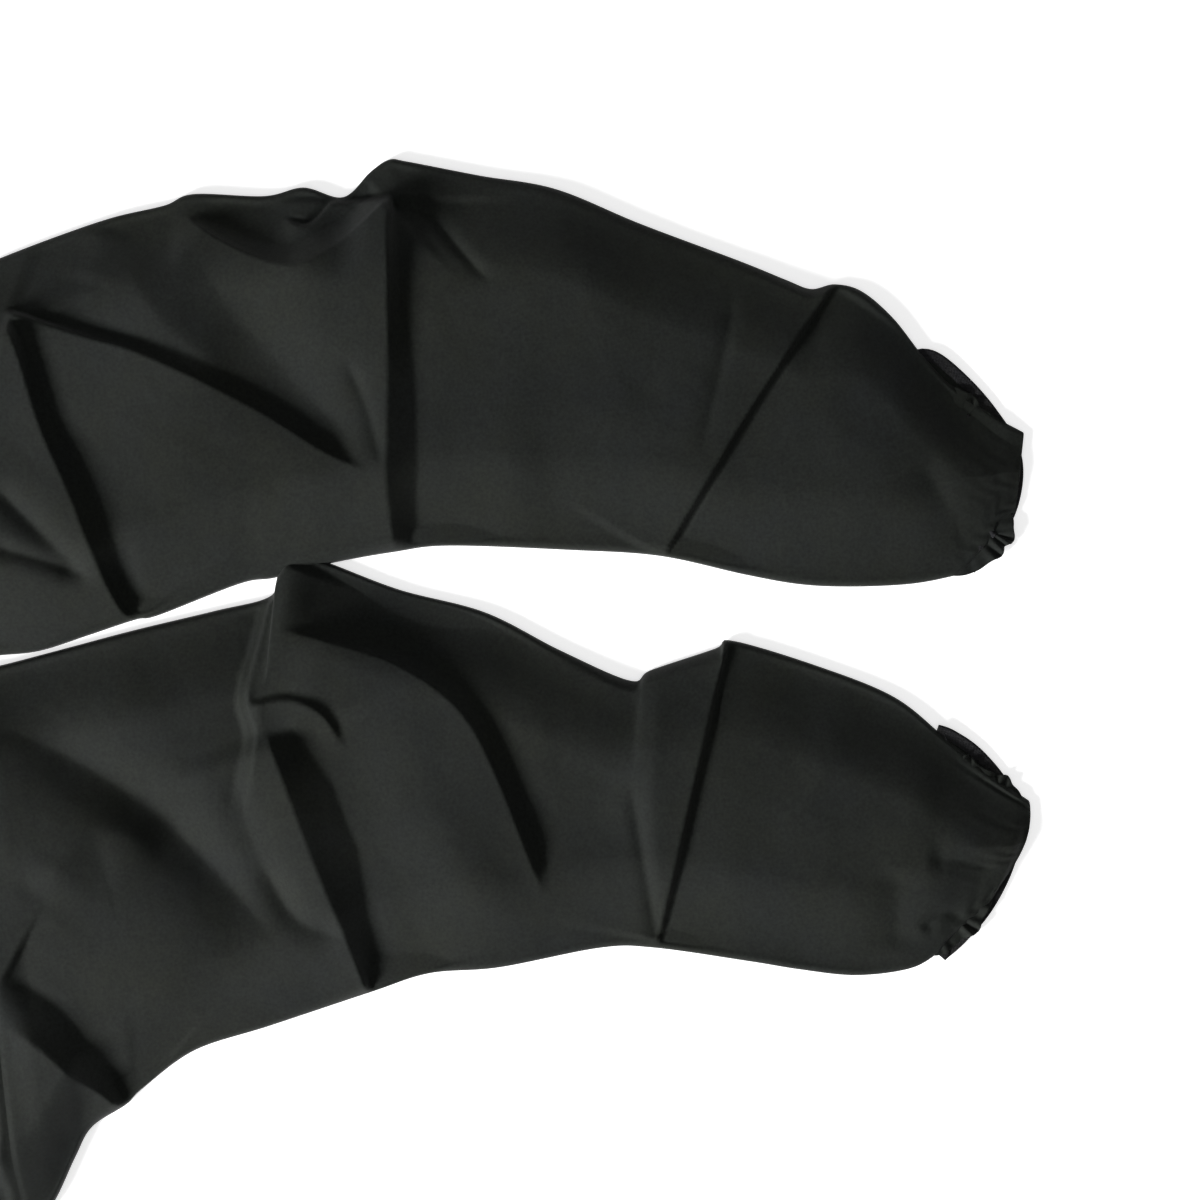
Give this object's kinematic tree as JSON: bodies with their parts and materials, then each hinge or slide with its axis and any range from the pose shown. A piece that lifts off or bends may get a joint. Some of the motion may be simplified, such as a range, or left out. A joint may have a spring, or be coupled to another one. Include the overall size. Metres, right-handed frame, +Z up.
{
  "type": "film changing bag",
  "caption": "Light-tight lined black cloth bag with a zipped end and long elastic-cuffed sleeves, for handling film in daylight.",
  "frame": {"origin": "centre of the bag body's underside, on the surface it lies on", "axes": "+X from the zip end to the cuffs, +Y towards the wearer's right sleeve, +Z up from the surface"},
  "size_m": [1.1879, 0.6222, 0.03],
  "materials": {
    "outer_cloth": "matte woven",
    "lining_cloth": "smooth coated",
    "binding_tape": "ribbed",
    "elastic": "ribbed matte",
    "zip_teeth": "satin",
    "zip_metal": "black enamel"
  },
  "bodies": {
    "bag": {"outer_top_panel": "outer_cloth", "outer_bottom_panel": "outer_cloth", "lining_top_panel": "lining_cloth", "lining_bottom_panel": "lining_cloth", "outer_right_gusset": "outer_cloth", "outer_left_gusset": "outer_cloth", "outer_neck_yoke": "outer_cloth", "outer_right_yoke": "outer_cloth", "outer_left_yoke": "outer_cloth", "lining_right_gusset": "lining_cloth", "lining_left_gusset": "lining_cloth", "lining_neck_yoke": "lining_cloth", "lining_right_yoke": "lining_cloth", "lining_left_yoke": "lining_cloth", "right_side_binding": "binding_tape", "right_sleeve_upper": "outer_cloth", "right_sleeve_lower": "outer_cloth", "right_sleeve_lining": "lining_cloth", "right_armhole_tape": "binding_tape", "right_cuff_binding": "outer_cloth", "right_cuff_elastic": "elastic", "left_side_binding": "binding_tape", "left_sleeve_upper": "outer_cloth", "left_sleeve_lower": "outer_cloth", "left_sleeve_lining": "lining_cloth", "left_armhole_tape": "binding_tape", "left_cuff_binding": "outer_cloth", "left_cuff_elastic": "elastic", "outer_zip_tape_upper": "binding_tape", "outer_zip_teeth_upper": "zip_teeth", "outer_zip_tape_lower": "binding_tape", "outer_zip_teeth_lower": "zip_teeth", "outer_zip_stop_right": "zip_metal", "outer_zip_stop_left": "zip_metal", "inner_zip_tape_upper": "binding_tape", "inner_zip_teeth_upper": "zip_teeth", "inner_zip_tape_lower": "binding_tape", "inner_zip_teeth_lower": "zip_teeth", "inner_zip_stop_right": "zip_metal", "inner_zip_stop_left": "zip_metal"},
    "outer_slider": {"outer_zip_slider": "zip_metal"},
    "outer_pull": {"outer_zip_pull": "zip_metal"},
    "inner_slider": {"inner_zip_slider": "zip_metal"},
    "inner_pull": {"inner_zip_pull": "zip_metal"}
  },
  "joints": [
    {"name": "outer_zip_slide", "type": "slide", "parent": "bag", "child": "outer_slider", "axis": [0, -1, 0], "range_m": [0, 0.504]},
    {"name": "outer_pull_hinge", "type": "hinge", "parent": "outer_slider", "child": "outer_pull", "pos_m": [-0.323, 0.2522, 0.015], "axis": [0, 0, -1], "range_deg": [0, 160]},
    {"name": "inner_zip_slide", "type": "slide", "parent": "bag", "child": "inner_slider", "axis": [0, -1, 0], "range_m": [0, 0.504]},
    {"name": "inner_pull_hinge", "type": "hinge", "parent": "inner_slider", "child": "inner_pull", "pos_m": [-0.289, 0.2522, 0.015], "axis": [0, 0, -1], "range_deg": [0, 160]}
  ]
}
